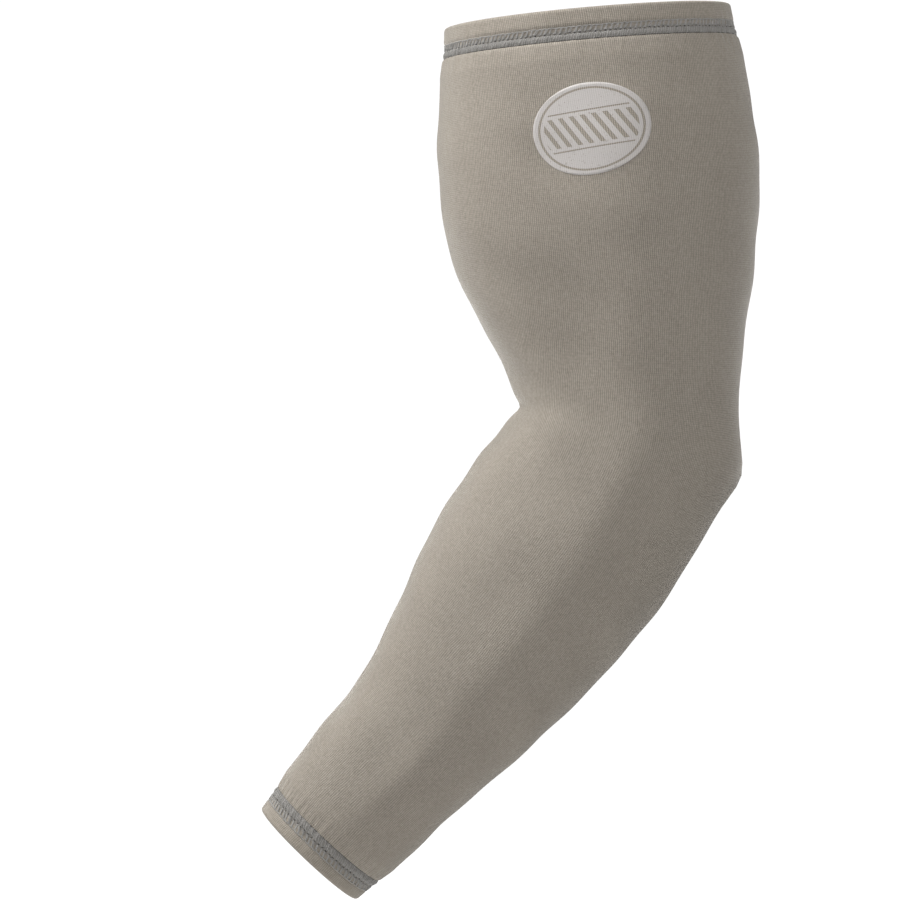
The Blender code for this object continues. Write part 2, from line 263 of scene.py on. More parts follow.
def wrap(piece, points, uv):
    """Lay a grid on points[row, column]. Columns run against x, so that the faces look out."""
    mesh = piece.data
    rows, columns = points.shape[:2]
    flat = np.empty(len(mesh.vertices) * 3)
    mesh.vertices.foreach_get("co", flat)
    flat = flat.reshape(-1, 3)
    column_of = np.rint((1 - flat[:, 0]) / 2 * (columns - 1)).astype(int)
    row_of = np.rint((1 - flat[:, 1]) / 2 * (rows - 1)).astype(int)
    mesh.vertices.foreach_set("co", points[row_of, column_of].ravel())
    corner = np.empty(len(mesh.loops), dtype=int)
    mesh.loops.foreach_get("vertex_index", corner)
    mesh.uv_layers.active.data.foreach_set("uv", uv[row_of, column_of][corner].ravel())
    mesh.update()


def measured(points):
    """UVs in metres: across the cloth from its middle column, and along it from its first row."""
    across = np.linalg.norm(np.diff(points, axis=1), axis=2).cumsum(axis=1)
    across = np.hstack([np.zeros((len(points), 1)), across])
    across -= across[:, across.shape[1] // 2][:, None]
    centre = points[:, points.shape[1] // 2]
    along = np.concatenate([[0], np.linalg.norm(np.diff(centre, axis=0), axis=1).cumsum()])
    return np.stack([across, np.repeat(along[:, None], points.shape[1], axis=1)], axis=-1)


def wall(piece, thickness):
    select_only(piece)
    solidify = piece.modifiers.new("wall", "SOLIDIFY")
    solidify.thickness = thickness
    solidify.offset = -1
    solidify.use_even_offset = True
    bpy.ops.object.modifier_apply(modifier=solidify.name)
    bpy.ops.object.shade_smooth()


def belongs(piece, node, material):
    """Let a piece stand for a solid, ride on the sleeve's one body and wear its material."""
    piece.data.materials.clear()
    piece.data.materials.append(material)
    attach(piece, "root")
    if node:
        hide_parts(node)
    print(piece.name, "has", len(piece.data.polygons), "faces")


# %% [markdown]
# Both ends are hems: the cloth runs past the rim, turns round a tight fold and lies back inside.
# A hem is sewn through two layers, so the stitches press a shallow seat into the cloth, and the
# single layer beside them puffs up again at once. At the cuff both are shallower. `unevenness` adds
# that seat and puff, the soft puckers between stitches, and the shallow waviness of stretched cloth
# everywhere else. Plain sine waves would look too regular, so slower ones crowd the puckers and
# sway the long waves.

# %% Rows of a panel and its unevenness
INSIDE_ROWS = 4             # rows on the turned-in cloth, inside the sleeve
FOLD_STEPS = 8
HEM_ROWS = 30
SLEEVE_ROWS = 108
PUCKERS, PUCKER_DEPTH = 61, 0.00022     # puckers in one round of the sleeve
CROWDING, CROWDS = 1.3, 13              # radians by which they crowd together, at so many places
BROAD_PUCKERS, BROAD_SHARE = 23, 0.6    # broader puckers among them, as a share of their depth
WAVE_DEPTH = 0.00045
LONG_WAVE, LONG_WAVE_ROUND = 95, 3      # radians in a metre down, and waves in one round
LONG_SWAY, LONG_SWAYS, LONG_TWIST = 2.1, 2, 21
SHORT_WAVE, SHORT_WAVE_ROUND = 210, 5
SHORT_SHARE = 0.5
CALM_AT_RIM, CALM_AT_CUFF = 0.03, 0.02  # no waves this close to the rim and to the cuff's edge
CALM_EASE = 0.03                        # and they rise to their full depth over this length
SEAT_DEPTH, SEAT_EDGE = 0.00080, 0.0018
PUFF_RISE, PUFF_PLACE = 0.00040, 0.0021
CUFF_RELIEF = 0.6           # the cuff's seat and puff are this much of the upper hem's


def turned_in(thickness, hem):
    """Over a hem, from the raw edge inside round the fold: distance from the rim, and lift."""
    radius = thickness + FOLD_GAP / 2
    turns = np.linspace(0, np.pi, FOLD_STEPS + 1)
    inside = [(down, -2 * radius) for down in np.linspace(hem, radius, INSIDE_ROWS + 1)[:-1]]
    fold = [(radius - radius * math.sin(turn), -radius - radius * math.cos(turn))
            for turn in turns]
    return np.array(inside + fold)


def panel_rows(thickness):
    """Rows down the whole cloth, from one raw edge to the other: distance down, and lift."""
    upper = turned_in(thickness, UPPER_STRIP + UPPER_BAND)
    cuff = turned_in(thickness, CUFF_STRIP + CUFF_BAND)[::-1]
    hem_end = UPPER_STRIP + UPPER_BAND + HEM_EASE
    cuff_start = SLEEVE_LENGTH - CUFF_STRIP - CUFF_BAND - HEM_EASE
    downs = np.concatenate([
        np.linspace(upper[-1, 0], hem_end, HEM_ROWS + 1)[1:],
        np.linspace(hem_end, cuff_start, SLEEVE_ROWS + 1)[1:],
        np.linspace(cuff_start, SLEEVE_LENGTH - cuff[0, 0], HEM_ROWS + 1)[1:-1]])
    cuff[:, 0] = SLEEVE_LENGTH - cuff[:, 0]
    outside = np.stack([downs, np.zeros_like(downs)], axis=-1)
    return np.vstack([upper, outside, cuff])


def hem_relief(from_rim, strip, band):
    """The stitches' seat in one hem and the puff beyond it, at a distance from the rim."""
    start, past = from_rim - strip, from_rim - strip - band
    seat = -SEAT_DEPTH * ease(start / SEAT_EDGE + 0.5) * ease(0.5 - past / SEAT_EDGE)
    beyond = np.clip(past, 0, None) / PUFF_PLACE
    return seat + PUFF_RISE * beyond * np.exp(1 - beyond)


def unevenness(down, angle):
    """How far the cloth stands off the arm's smooth form."""
    turn = np.radians(angle)
    from_cuff = SLEEVE_LENGTH - down
    pucker = (np.sin(PUCKERS * turn + CROWDING * np.sin(turn * CROWDS))
              + BROAD_SHARE * np.sin(turn * BROAD_PUCKERS + 1.0))
    near_upper = np.exp(-((down - UPPER_STRIP - UPPER_BAND) / UPPER_BAND) ** 2)
    near_cuff = np.exp(-((from_cuff - CUFF_STRIP - CUFF_BAND) / CUFF_BAND) ** 2)
    long_waves = (np.sin(down * LONG_WAVE + LONG_SWAY * np.sin(turn * LONG_SWAYS))
                  * np.sin(turn * LONG_WAVE_ROUND + down * LONG_TWIST))
    short_waves = SHORT_SHARE * np.sin(down * SHORT_WAVE + turn * SHORT_WAVE_ROUND)
    wavy = (ease((down - CALM_AT_RIM) / CALM_EASE)
            * ease((from_cuff - CALM_AT_CUFF) / CALM_EASE))
    relief = (hem_relief(down, UPPER_STRIP, UPPER_BAND)
              + hem_relief(from_cuff, CUFF_STRIP, CUFF_BAND) * CUFF_RELIEF)
    return (relief + pucker * PUCKER_DEPTH * (near_upper + near_cuff)
            + (long_waves + short_waves) * WAVE_DEPTH * wavy)


print("a panel has", len(panel_rows(KNIT_WALL)), "rows of points")

# %% [markdown]
# ## Materials: nodes in short words
# Every material here is built from nodes, and nothing is painted. A few small helpers keep that
# readable: `add` places a node and fills its sockets, `calc` is one Math node, and `ramp`, `mix`,
# `noise` and `centred` each make one common step. `cloth_place` says where a point lies on the
# cloth, and `dress` wires a finished colour and relief into the shader.

# %% Helpers for nodes
def add(tree, kind, inputs=None, **settings):
    node = tree.nodes.new(kind)
    for name, value in settings.items():
        setattr(node, name, value)
    for name, value in (inputs or {}).items():
        if isinstance(value, bpy.types.NodeSocket):
            tree.links.new(value, node.inputs[name])
        else:
            node.inputs[name].default_value = value
    return node


def calc(tree, operation, *values):
    inputs = dict(enumerate(values))
    return add(tree, "ShaderNodeMath", inputs, operation=operation).outputs[0]


def ramp(tree, value, low, high):
    """0 below low, 1 above high, and smooth between."""
    return add(tree, "ShaderNodeMapRange", {"Value": value, "From Min": low, "From Max": high},
               interpolation_type="SMOOTHSTEP").outputs[0]


def mix(tree, factor, first, second):
    """Mix two colours, each a tuple or a socket."""
    node = tree.nodes.new("ShaderNodeMix")
    node.data_type = "RGBA"
    for index, value in ((0, factor), (6, first), (7, second)):
        if isinstance(value, bpy.types.NodeSocket):
            tree.links.new(value, node.inputs[index])
        else:
            node.inputs[index].default_value = value
    return node.outputs[2]


def shader_of(name, roughness, sheen, sheen_roughness=0.5, specular=0.25):
    """A new material with its Principled shader set for cloth or thread."""
    material = bpy.data.materials.new(name)
    material.use_nodes = True
    shader = material.node_tree.nodes["Principled BSDF"]
    shader.inputs["Roughness"].default_value = roughness
    shader.inputs["Sheen Weight"].default_value = sheen
    shader.inputs["Sheen Roughness"].default_value = sheen_roughness
    shader.inputs["Specular IOR Level"].default_value = specular
    return material, material.node_tree, shader


def noise(tree, place, scale, detail=2.0):
    return add(tree, "ShaderNodeTexNoise",
               {"Vector": place, "Scale": scale, "Detail": detail}).outputs["Fac"]


def centred(tree, value, share):
    """A value from 0 to 1 as a swing of this size in all, half of it below 0."""
    return calc(tree, "MULTIPLY_ADD", value, share, -share / 2)


def cloth_place(tree):
    """How far across and along the cloth a point lies, in metres, and its place in space."""
    split = add(tree, "ShaderNodeSeparateXYZ", {0: add(tree, "ShaderNodeUVMap").outputs[0]})
    space = add(tree, "ShaderNodeTexCoord").outputs["Object"]
    return split.outputs["X"], split.outputs["Y"], space


def dress(tree, shader, colour, relief, bump_depth, strength=1.0):
    """Give a shader its colour, and bumps as deep as bump_depth where the relief is 1."""
    tree.links.new(colour, shader.inputs["Base Color"])
    bumps = add(tree, "ShaderNodeBump",
                {"Height": relief, "Distance": bump_depth, "Strength": strength})
    tree.links.new(bumps.outputs[0], shader.inputs["Normal"])


# %% [markdown]
# ## The smooth knit
# The body cloth is a fine jersey. Seen close, each column of loops, called a wale, is a chain of
# V shapes, and seen from a step away only the columns show, as fine lines down the sleeve. A stock
# photograph of cloth would stretch and repeat, so the V is worked out from the UV map: across one
# wale the height is an arch, and along it slanted waves that meet at the middle make the V.
# Straight wales that are only about two pixels apart draw false arcs in a picture, so a slow noise
# makes the wales and their loops wander. Broad and fine noise give the yarn its slight mottling.
# The height also sets the tone: painted shade in the grooves and a painted highlight on the loops.

# %% Knit material
WALE = 0.00094      # metres from one column of loops to the next
COURSE = 0.00078    # and from one loop to the next in a column
# The knit's dark and light ends: its mottling, painted shade in the grooves and painted highlight
# on the loops
KNIT_DARK_AND_SHADE = (0.150, 0.132, 0.108, 1)
KNIT_LIGHT_AND_HIGHLIGHT = (0.440, 0.396, 0.338, 1)
KNIT_SHEEN = (0.95, 0.92, 0.88, 1)
KNIT_BUMP = 0.00012
STRAY = 1.1         # how far the wales and their loops wander, in wales and loops
V_SLANT = 0.5       # how much further along a loop's edges lie than its middle, in loops
LOOP_SHARE = 0.45   # how much of a wale's height its loops make; the rest is even
# Tone in the grooves, as painted shade, and how much lighter the loops' tops are, as painted
# highlight
GROOVE_SHADE_TONE, LOOP_HIGHLIGHT_TONE = 0.12, 0.74
MOTTLE_TONE, PATCH_TONE = 0.60, 0.16
MOTTLE_RELIEF = 0.12


def knit_height(tree, across, along, space):
    """0 in the grooves between wales, 1 on top of the loops."""
    stray = calc(tree, "MULTIPLY", noise(tree, space, scale=180.0, detail=1.0), STRAY)
    column_place = calc(tree, "FRACT", calc(
        tree, "ADD", calc(tree, "DIVIDE", across, WALE), stray))
    off_centre = calc(tree, "ABSOLUTE", calc(tree, "SUBTRACT", calc(
        tree, "MULTIPLY", column_place, 2.0), 1.0))
    arch = calc(tree, "SUBTRACT", 1.0, calc(tree, "POWER", off_centre, 2.0))
    slant = calc(tree, "ADD", calc(tree, "DIVIDE", along, COURSE),
                 calc(tree, "MULTIPLY", off_centre, V_SLANT))
    slant = calc(tree, "ADD", slant, stray)
    loops = calc(tree, "SINE", calc(tree, "MULTIPLY", slant, 2 * math.pi))
    loops = calc(tree, "MULTIPLY_ADD", loops, 0.5, 0.5)
    return calc(tree, "MULTIPLY", arch,
                calc(tree, "MULTIPLY_ADD", loops, LOOP_SHARE, 1 - LOOP_SHARE))


def knit_material():
    material, tree, shader = shader_of(
        "smooth_knit_cloth", roughness=0.85, sheen=0.60, sheen_roughness=0.3)
    across, along, space = cloth_place(tree)
    height = knit_height(tree, across, along, space)
    mottle = noise(tree, space, scale=800.0, detail=3.0)
    patches = noise(tree, space, scale=38.0)
    # The tone follows the height: painted shade in the grooves, painted highlight on the loops
    tone = calc(tree, "MULTIPLY_ADD", height, LOOP_HIGHLIGHT_TONE, GROOVE_SHADE_TONE)
    tone = calc(tree, "ADD", tone, centred(tree, mottle, MOTTLE_TONE))
    tone = calc(tree, "ADD", tone, centred(tree, patches, PATCH_TONE))
    relief = calc(tree, "ADD", height, calc(tree, "MULTIPLY", mottle, MOTTLE_RELIEF))
    dress(tree, shader, mix(tree, tone, KNIT_DARK_AND_SHADE, KNIT_LIGHT_AND_HIGHLIGHT), relief, KNIT_BUMP)
    shader.inputs["Sheen Tint"].default_value = KNIT_SHEEN
    return material


smooth_knit = knit_material()
print("wales every", WALE * 1000, "mm")

# %% [markdown]
# ## The body panel
# The body panel goes from the elbow side's seam round the front to the biceps side's seam. It is
# one sheet with both hems in it. Its columns lie 1.6 mm apart at the widest place, which is fine
# enough to carry the puckers.

# %% Body panel
BODY_COLUMNS = 190
PANEL_CLEARANCE = 0.00015   # each panel stops this far short of the seam line


def panel(name, node, columns, angles, thickness, material):
    rows = panel_rows(thickness)
    down, lift = rows[:, :1], rows[:, 1:]
    angle = angles(down[:, 0], np.linspace(0, 1, columns + 1))
    points = surface(down, angle, lift + unevenness(down, angle))
    piece = flat_piece(name, columns, len(rows) - 1)
    uv = measured(points)
    wrap(piece, points, uv)
    wall(piece, thickness)
    belongs(piece, node, material)
    widest = float(np.max(uv[:, -1, 0] - uv[:, 0, 0]))
    length = float(uv[-1, 0, 1])
    sides = np.linalg.norm(np.diff(points, axis=1), axis=2)[:-1]
    steps = np.linalg.norm(np.diff(points, axis=0), axis=2)[:, :-1]
    area = float((sides * steps).sum())
    return piece, widest, length, area


def body_spread(down, share):
    start = outer_angle(down, PANEL_CLEARANCE) - 360
    end = inner_angle(down, PANEL_CLEARANCE)
    return start[:, None] + (end - start)[:, None] * share


body_cloth, body_width, body_length, body_area = panel(
    "body_cloth", "body_panel", BODY_COLUMNS, body_spread, KNIT_WALL, smooth_knit)
print("body panel lies flat in", round(body_width, 3), "by", round(body_length, 3), "m")

# %% [markdown]
# ## The mesh
# The far side is a piqué mesh. Its loops are held back in a staggered pattern, which leaves small
# dark dimples in diagonal rows, with raised floats of yarn between them. Cutting a real hole for
# each would take millions of faces. The product of two cosines has just this staggered pattern,
# high in the dimples and low on the floats. The square of the cosine across the cloth is added,
# because the dimples stand in sunken columns. The sum drives the bump and the colour: dark in the
# dimples, and lighter on the floats as a painted highlight.

# %% Mesh material
DIMPLE_ACROSS = 0.0021
DIMPLE_ALONG = 0.00245
MESH_DARK = (0.095, 0.092, 0.088, 1)
MESH_MID = (0.320, 0.309, 0.294, 1)
# The mesh's light end: the yarn's lighter fibres, and the painted highlight on the floats
MESH_LIGHT_AND_HIGHLIGHT = (0.500, 0.483, 0.460, 1)
MESH_BUMP = 0.00045
YARN_SHARE = 0.9            # how far single fibres disturb the pattern
# Where in the pattern a dimple begins and is dark, and where a float's painted highlight begins and
# is full
DIMPLE_FROM, DIMPLE_TO = 0.25, 1.25
FLOAT_FROM, FLOAT_TO = 0.10, -0.80
FAINT_SHARE, FAINT_SHIFT = 0.3, -0.02   # patches where the pattern is fainter


def mesh_material():
    material, tree, shader = shader_of("mesh_cloth", roughness=0.9, sheen=0.15)
    across, along, space = cloth_place(tree)
    round_wave = calc(tree, "COSINE", calc(tree, "MULTIPLY", across, 2 * math.pi / DIMPLE_ACROSS))
    down_wave = calc(tree, "COSINE", calc(tree, "MULTIPLY", along, 2 * math.pi / DIMPLE_ALONG))
    columns = calc(tree, "SUBTRACT", calc(tree, "MULTIPLY", round_wave, round_wave), 0.5)
    pattern = calc(tree, "ADD", calc(tree, "MULTIPLY", round_wave, down_wave), columns)
    yarn = noise(tree, space, scale=1400.0)
    pattern = calc(tree, "ADD", pattern, centred(tree, yarn, YARN_SHARE))
    dimple = ramp(tree, pattern, DIMPLE_FROM, DIMPLE_TO)
    floats_and_highlight = ramp(tree, pattern, FLOAT_FROM, FLOAT_TO)
    # The floats are lighter as a painted highlight
    colour = mix(tree, dimple, mix(tree, floats_and_highlight, MESH_MID, MESH_LIGHT_AND_HIGHLIGHT), MESH_DARK)
    patches = noise(tree, space, scale=45.0)
    faintness = calc(tree, "MULTIPLY_ADD", patches, FAINT_SHARE, FAINT_SHIFT)
    colour = mix(tree, faintness, colour, MESH_MID)
    dress(tree, shader, colour, calc(tree, "SUBTRACT", floats_and_highlight, dimple), MESH_BUMP, strength=0.9)
    return material


mesh_knit = mesh_material()
print("dimples every", DIMPLE_ACROSS * 1000, "mm")

# %% Mesh panel
MESH_COLUMNS = 84


def mesh_spread(down, share):
    start = inner_angle(down, -PANEL_CLEARANCE)
    end = outer_angle(down, -PANEL_CLEARANCE)
    return start[:, None] + (end - start)[:, None] * share


mesh_cloth, mesh_width, mesh_length, mesh_area = panel(
    "mesh_cloth", "mesh_panel", MESH_COLUMNS, mesh_spread, MESH_WALL, mesh_knit)
print("mesh panel lies flat in", round(mesh_width, 3), "by", round(mesh_length, 3), "m")

# %% [markdown]
# ## Thread
# A seam is thread, and thread is a round yarn of several plies, not a flat stripe. Each thread is
# a curve with a round bevel, laid through the needle holes and over the cloth between them, and
# then made a mesh. The twist of the plies is too fine to model, so it is a slanted bump.

# %% Thread material and thread maker
THREAD_RADIUS = 0.00020
THREAD_DARK = (0.200, 0.195, 0.186, 1)
THREAD_LIGHT = (0.420, 0.408, 0.388, 1)
THREAD_BUMP = 0.00006
SAME_POINT = 0.000001       # points of a thread that are closer than this are joined


def thread_material():
    material, tree, shader = shader_of("stitch_thread", roughness=0.7, sheen=0.25)
    space = add(tree, "ShaderNodeTexCoord").outputs["Object"]
    fibres = noise(tree, space, scale=2600.0)
    twist = add(tree, "ShaderNodeTexWave", {"Vector": space, "Scale": 900.0, "Distortion": 2.0},
                bands_direction="DIAGONAL").outputs["Fac"]
    dress(tree, shader, mix(tree, fibres, THREAD_DARK, THREAD_LIGHT), twist, THREAD_BUMP,
          strength=0.7)
    return material


stitch_thread = thread_material()


def threads(name, runs, radius=THREAD_RADIUS, closed=False):
    """Round threads through lists of points, as one mesh."""
    bpy.ops.object.select_all(action="DESELECT")
    bpy.ops.curve.primitive_nurbs_path_add()
    piece = bpy.context.object
    piece.name = piece.data.name = name
    curve = piece.data
    curve.splines.clear()
    curve.bevel_depth = radius
    curve.bevel_resolution = 1
    curve.use_fill_caps = not closed
    for points in runs:
        spline = curve.splines.new("POLY")
        spline.points.add(len(points) - 1)
        flat = np.hstack([points, np.ones((len(points), 1))])
        spline.points.foreach_set("co", flat.ravel())
        spline.use_cyclic_u = closed
    bpy.ops.object.convert(target="MESH")
    piece = bpy.context.object
    bpy.ops.object.mode_set(mode="EDIT")
    bpy.ops.mesh.select_all(action="SELECT")
    bpy.ops.mesh.remove_doubles(threshold=SAME_POINT)
    bpy.ops.mesh.normals_make_consistent(inside=False)
    bpy.ops.object.mode_set(mode="OBJECT")
    bpy.ops.object.shade_smooth()
    return piece


print("threads are", 2 * THREAD_RADIUS * 1000, "mm thick")

# %% [markdown]
# ## The flatlock seams
# A flatlock seam lies flat, so that it doesn't rub the arm: the two cloths meet edge to edge, and a
# ribbon of looping thread covers the join. On this sleeve the ribbon is a low ridge that lies
# almost all on the body cloth. Beside the mesh it ends in a groove that is painted dark as shade,
# and its other border shows a row of needle holes. The ribbon is one thin strip. Its close strands
# and needle holes are in the material, which reads two lengths from the strip's UV map: how far
# across it a point lies, and how far along. The larger crossing threads and needle stitches are
# real threads.

# %% Material of a ribbon of close threads
HOLE_REACH = 0.00042
HOLE_EDGE = (1.5, 0.6)      # where a needle hole begins and is dark, in reaches from its middle
# A groove is painted dark as shade
GROOVE_EDGE = (1.3, 0.7)    # the same for a groove, in halves of its width
SUNK_DEPTH = 2.0            # how much deeper holes and grooves are than the strands are high
STRANDS, STRAND_SLANT = 4, 0.45     # strands in one stitch, and how far they lean
RIBBON_BUMP = 0.00022
BARE_EDGE = (0.7, 1.2)      # where the bare cloth ends raggedly, in widths of the bare stretch


def bare_cloth(tree, across, along, fibres, bare, mesh_from, mesh_to):
    """The colour of the cloth under a ribbon, and how far the ribbon's threads cover it."""
    on_mesh = calc(tree, "MULTIPLY", calc(tree, "GREATER_THAN", along, mesh_from),
                   calc(tree, "LESS_THAN", along, mesh_to))
    cloth = mix(tree, on_mesh, mix(tree, fibres, KNIT_DARK_AND_SHADE, KNIT_LIGHT_AND_HIGHLIGHT),
                mix(tree, fibres, MESH_DARK, MESH_LIGHT_AND_HIGHLIGHT))
    ragged = calc(tree, "ADD", across, centred(tree, fibres, bare))
    return cloth, ramp(tree, ragged, bare * BARE_EDGE[0], bare * BARE_EDGE[1])


def ribbon_material(name, pitch, colours, groove, hole_row, bare=None, mesh_from=0.0, mesh_to=0.0):
    """colours are dark, light, and the colour of needle holes that also paints shade into the
    groove;
    groove is a border painted dark as shade, from and to; hole_row is how far across the ribbon its
    needle holes lie; as far across as bare, the cloth shows between the threads, and from mesh_from
    to mesh_to along the ribbon that cloth is mesh."""
    dark, light, hole_and_shade = colours
    material, tree, shader = shader_of(name, roughness=0.8, sheen=0.25)
    across, along, space = cloth_place(tree)
    slant = calc(tree, "ADD", along, calc(tree, "MULTIPLY", across, STRAND_SLANT))
    strands = calc(tree, "SINE", calc(tree, "MULTIPLY", slant, 2 * math.pi / pitch * STRANDS))
    strands = calc(tree, "MULTIPLY_ADD", strands, 0.5, 0.5)
    fibres = noise(tree, space, scale=1500.0)
    tone = calc(tree, "ADD", calc(tree, "MULTIPLY", strands, 0.5),
                calc(tree, "MULTIPLY", fibres, 0.5))
    colour = mix(tree, tone, dark, light)
    if bare:
        cloth, cover = bare_cloth(tree, across, along, fibres, bare, mesh_from, mesh_to)
        colour = mix(tree, cover, cloth, colour)
    off_stitch = calc(tree, "SUBTRACT", calc(tree, "FRACT", calc(
        tree, "DIVIDE", along, pitch)), 0.5)
    from_hole = calc(tree, "SQRT", calc(
        tree, "ADD",
        calc(tree, "POWER", calc(tree, "MULTIPLY", off_stitch, pitch), 2.0),
        calc(tree, "POWER", calc(tree, "SUBTRACT", across, hole_row), 2.0)))
    holes = ramp(tree, from_hole, HOLE_REACH * HOLE_EDGE[0], HOLE_REACH * HOLE_EDGE[1])
    middle, half = (groove[0] + groove[1]) / 2, (groove[1] - groove[0]) / 2
    off_groove = calc(tree, "ABSOLUTE", calc(tree, "SUBTRACT", across, middle))
    # Needle holes, and the groove painted dark as shade
    holes_and_shaded_groove = calc(tree, "MAXIMUM", holes,
                ramp(tree, off_groove, half * GROOVE_EDGE[0], half * GROOVE_EDGE[1]))
    relief = calc(tree, "SUBTRACT", tone, calc(tree, "MULTIPLY", holes_and_shaded_groove, SUNK_DEPTH))
    dress(tree, shader, mix(tree, holes_and_shaded_groove, colour, hole_and_shade), relief, RIBBON_BUMP, strength=0.9)
    return material


# %% Seam sizes and places
STITCH = 0.0022             # metres from one needle hole to the next
TAPE_COLUMNS = 10
TAPE_HEIGHT = 0.00034
TAPE_WALL = 0.0004
SEAM_BODY_BORDER = SEAM_WIDTH - SEAM_ON_MESH
SEAM_MESH_BORDER = -SEAM_ON_MESH
# Dark, light, and the colour of needle holes and of the groove's painted shade
TAPE_COLOURS = ((0.250, 0.238, 0.222, 1), (0.430, 0.412, 0.390, 1), (0.060, 0.056, 0.052, 1))
# Where the groove's painted shade lies across the seam
TAPE_GROOVE_SHADE = (0.0003, 0.0010)
TAPE_HOLE_ROW = 0.0038
# Across a seam, as shares of its width from its border on the mesh
GROOVE_PLACE, GROOVE_REACH = 0.15, 0.06
GROOVE_DEPTH = 0.9          # as a share of the ribbon's height
CROSSING_PLACE, CROSSING_SWING = 0.56, 0.30
NEEDLE_PLACE = 0.93
CROSSING_LIFT, NEEDLE_LIFT = 0.00006, 0.00024
TAPE_ROWS, THREAD_POINTS = 4, 8     # in one stitch
seam_tape = ribbon_material("seam_tape", STITCH, TAPE_COLOURS, TAPE_GROOVE_SHADE, TAPE_HOLE_ROW)


def tape_lift(share):
    """A ribbon's cross-section: a low dome with a groove at the mesh side, where share is 0."""
    dome = np.sin(np.pi * np.clip(share, 0, 1)) ** 0.5
    groove = np.exp(-((share - GROOVE_PLACE) / GROOVE_REACH) ** 2)
    return TAPE_HEIGHT * (dome - GROOVE_DEPTH * groove)


def seam_path(spacing):
    """Rows down a seam that is turned in with the hems, evenly spaced: distance down, and lift."""
    rows = panel_rows(KNIT_WALL)
    points = surface(rows[:, 0], 90.0, rows[:, 1])
    length = np.concatenate([[0], np.linalg.norm(np.diff(points, axis=0), axis=1).cumsum()])
    places = np.linspace(0, length[-1], int(length[-1] / spacing) + 1)
    return np.stack([np.interp(places, length, rows[:, i]) for i in (0, 1)], axis=-1)


def over(rows, lift):
    """Lift rows off the cloth, outwards on its outer face and inwards inside the hem."""
    middle_of_fold = -(KNIT_WALL + FOLD_GAP / 2)
    raised = rows.copy()
    inside = rows[:, 1] < middle_of_fold
    raised[:, 1] = np.where(inside, rows[:, 1] - lift, rows[:, 1] + lift)
    return raised


def seam_points(rows, angle_at, share, lift):
    """Points on a seam: share 0 is its border on the mesh and 1 its border on the body cloth."""
    into_body = SEAM_MESH_BORDER + SEAM_WIDTH * np.asarray(share)
    raised = over(rows, lift)
    down = raised[:, 0]
    angle = angle_at(down, into_body)
    return surface(down, angle, raised[:, 1] + unevenness(down, angle))


print("a seam ribbon is", SEAM_WIDTH * 1000, "mm wide")


# %% Seams
def seam_ribbon(side, node, angle_at):
    rows = seam_path(STITCH / TAPE_ROWS)
    shares = np.linspace(0, 1, TAPE_COLUMNS + 1)
    if angle_at is inner_angle:     # the body cloth lies the other way here, and faces look out
        shares = shares[::-1]
    grid = np.stack([seam_points(rows, angle_at, share, tape_lift(share)) for share in shares],
                    axis=1)
    uv = measured(grid)
    uv[..., 0] = shares * SEAM_WIDTH
    tape = flat_piece(side + "_seam_tape", TAPE_COLUMNS, len(rows) - 1)
    wrap(tape, grid, uv)
    wall(tape, TAPE_WALL)
    belongs(tape, node, seam_tape)
    return tape


def seam_stitches(side, angle_at):
    """The thread that crosses a seam's ribbon to and fro, and the needle's row of stitches."""
    rows = seam_path(STITCH / THREAD_POINTS)
    phase = np.arange(len(rows)) / THREAD_POINTS
    swing = CROSSING_PLACE + CROSSING_SWING * np.clip(1.5 * np.sin(2 * np.pi * phase), -1, 1)
    crossing = seam_points(rows, angle_at, swing, tape_lift(swing) + CROSSING_LIFT)
    dip = np.abs(np.sin(np.pi * phase))
    needle = seam_points(rows, angle_at, NEEDLE_PLACE, tape_lift(NEEDLE_PLACE) + NEEDLE_LIFT * dip)
    stitches = threads(side + "_seam_stitches", [crossing, needle])
    belongs(stitches, None, stitch_thread)
    return stitches


inner_tape = seam_ribbon("inner", "inner_seam", inner_angle)
inner_stitches = seam_stitches("inner", inner_angle)
outer_tape = seam_ribbon("outer", "outer_seam", outer_angle)
outer_stitches = seam_stitches("outer", outer_angle)

# %% [markdown]
# ## The hems' coverstitch
# A coverstitch holds the turned-in cloth. On the rim side, a looping thread slants back and forth
# between two rows of needle stitches, with a row of light beads at the top and a row of dark
# needle holes at the bottom. On the body side, the raw edge underneath makes a low ridge that fine
# strands wrap, and after it the strip is painted dark as a shadow line, where the single cloth
# puffs up. The cloth itself shows between the looping threads, so the strip's material is bare
# there, knit or mesh as the panel below it is. The band runs round the whole sleeve and climbs over
# both seams. It is again one strip, closed into a ring, with real threads on it. Each thread strays
# a little from an even stitch, because a sewn row is never quite even.

# %% Hem band sizes and places
HEM_STITCH = 0.0023
BAND_ROWS = 16
BAND_WALL = 0.0004
# Dark, light, and the colour of needle holes and of the painted shadow line
BAND_COLOURS = ((0.140, 0.134, 0.124, 1), (0.330, 0.314, 0.292, 1), (0.030, 0.029, 0.028, 1))
# Across a hem band, as shares of its width from the rim side to the body side
BEAD_ROW, HOLE_ROW = 0.08, 0.50
RIDGE_START, RIDGE_END = 0.55, 0.95
BARE_TO = 0.36
# Where the painted shadow line on the body side begins for each hem, and where it ends
PAINTED_SHADOW_FROM = {"upper": 0.95, "cuff": 0.99}
PAINTED_SHADOW_TO = 1.1
RIM_EASE, BODY_EASE = 0.06, 0.05    # the band rises from the cloth over these shares
HOLE_DIP_REACH = 0.045
